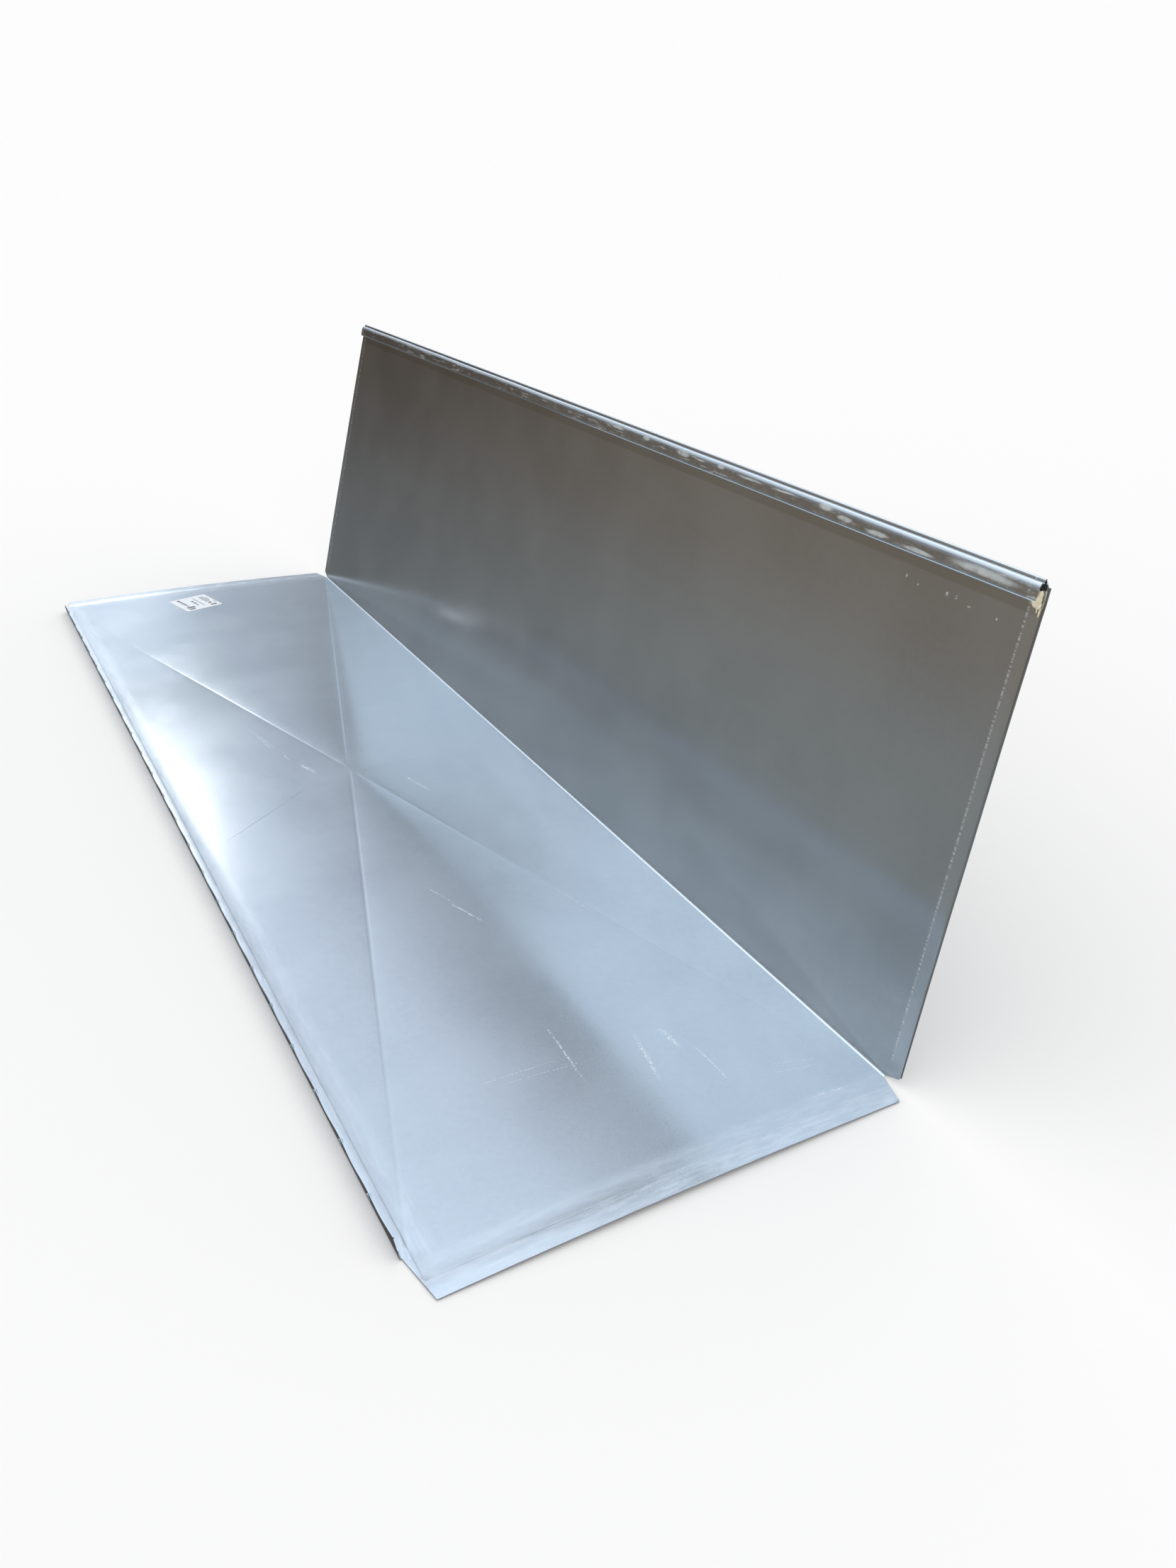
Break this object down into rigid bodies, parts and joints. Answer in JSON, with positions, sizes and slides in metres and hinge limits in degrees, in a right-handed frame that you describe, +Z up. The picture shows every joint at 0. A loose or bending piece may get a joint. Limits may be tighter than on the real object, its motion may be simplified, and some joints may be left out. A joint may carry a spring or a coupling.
{
  "type": "rectangular air duct half section",
  "caption": "L-shaped half of a rectangular galvanised air duct, with a button-punched flange, a pocket lock, slip tongues and drive hems.",
  "frame": {"origin": "bottom centre of the overall box, on the plane the floor panel's ends stand on", "axes": "+X along the fold, +Y across the floor panel from the wall to the buttoned flange, +Z up"},
  "size_m": [1.2546, 0.4292, 0.361],
  "materials": {
    "galvanised_steel": "dull bright zinc coat with fine spangle, mill marks and scuffs",
    "sealant": "cream sealant, satin and lumpy",
    "label_paper": null
  },
  "bodies": {
    "root": {"duct_sheet": "galvanised_steel", "seam_sealant": "sealant", "size_label": "label_paper"}
  },
  "joints": []
}
